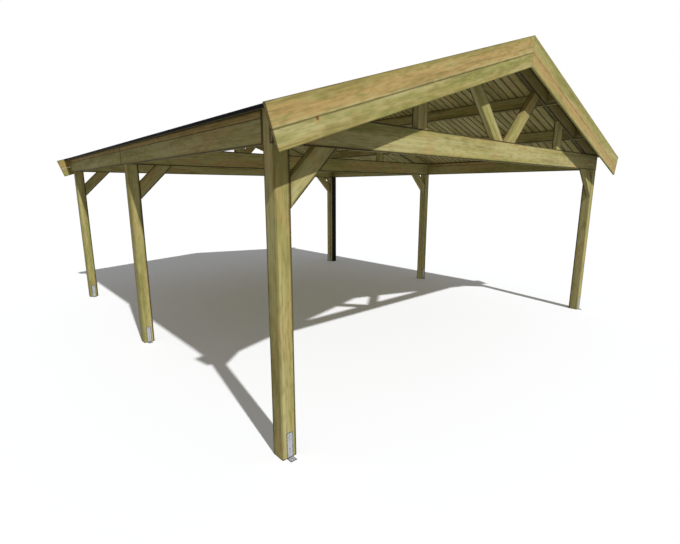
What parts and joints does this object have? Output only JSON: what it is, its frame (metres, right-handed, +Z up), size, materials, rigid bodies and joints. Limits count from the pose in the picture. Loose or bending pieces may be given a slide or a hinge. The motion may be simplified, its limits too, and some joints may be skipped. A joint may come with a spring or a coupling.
{
  "type": "open timber carport with gable roof",
  "caption": "Open timber carport: square posts with knee braces carry open trusses and a low gable roof over a parking bay.",
  "frame": {"origin": "on the ground, in the middle of the plan", "axes": "+X to the right across the front gable, +Y from the front gable to the back one along the ridge, +Z up"},
  "size_m": [6.9302, 7.5, 3.7938],
  "materials": {
    "posts": "planed green-treated softwood",
    "tie_beams": "planed green-treated softwood",
    "side_beams": "planed green-treated softwood",
    "rafters": "planed green-treated softwood",
    "braces": "planed green-treated softwood",
    "struts": "planed green-treated softwood",
    "purlins": "planed green-treated softwood",
    "deck_boards": "green-treated roof boards",
    "bargeboards": "planed green-treated softwood",
    "duct_timber": "planed green-treated softwood",
    "roof_covering": "matt black roofing sheet",
    "drip_edge": "black coated sheet",
    "brackets": "hot-dip galvanised",
    "duct_cover": "matt black"
  },
  "bodies": {
    "root": {"post_front_left": "posts", "post_middle_left": "posts", "post_back_left": "posts", "post_front_right": "posts", "post_middle_right": "posts", "post_back_right": "posts", "tie_beam_front": "tie_beams", "tie_beam_middle": "tie_beams", "tie_beam_back": "tie_beams", "side_beam_front_left": "side_beams", "side_beam_back_left": "side_beams", "side_beam_front_right": "side_beams", "side_beam_back_right": "side_beams", "post_heads_left": "posts", "post_heads_right": "posts", "splice_cleats": "side_beams", "rafter_front_left": "rafters", "rafter_middle_left": "rafters", "rafter_back_left": "rafters", "rafter_front_right": "rafters", "rafter_middle_right": "rafters", "rafter_back_right": "rafters", "knee_brace_front_left": "braces", "knee_brace_middle_left": "braces", "knee_brace_back_left": "braces", "knee_brace_front_right": "braces", "knee_brace_middle_right": "braces", "knee_brace_back_right": "braces", "truss_struts_front": "struts", "truss_struts_middle": "struts", "truss_struts_back": "struts", "purlin_upper_left": "purlins", "purlin_lower_left": "purlins", "purlin_upper_right": "purlins", "purlin_lower_right": "purlins", "ridge_board": "purlins", "eaves_fillet_left": "purlins", "eaves_fillet_right": "purlins", "roof_deck_left": "deck_boards", "roof_deck_right": "deck_boards", "roof_covering_left": "roof_covering", "roof_covering_right": "roof_covering", "drip_edge_left": "drip_edge", "drip_edge_right": "drip_edge", "bargeboards_front_left": "bargeboards", "bargeboards_front_right": "bargeboards", "bargeboards_back_left": "bargeboards", "bargeboards_back_right": "bargeboards", "post_brackets_front_left": "brackets", "post_brackets_middle_left": "brackets", "post_brackets_back_left": "brackets", "post_brackets_front_right": "brackets", "post_brackets_middle_right": "brackets", "post_brackets_back_right": "brackets", "service_duct_sides": "duct_timber", "service_duct_cover": "duct_cover"}
  },
  "joints": []
}
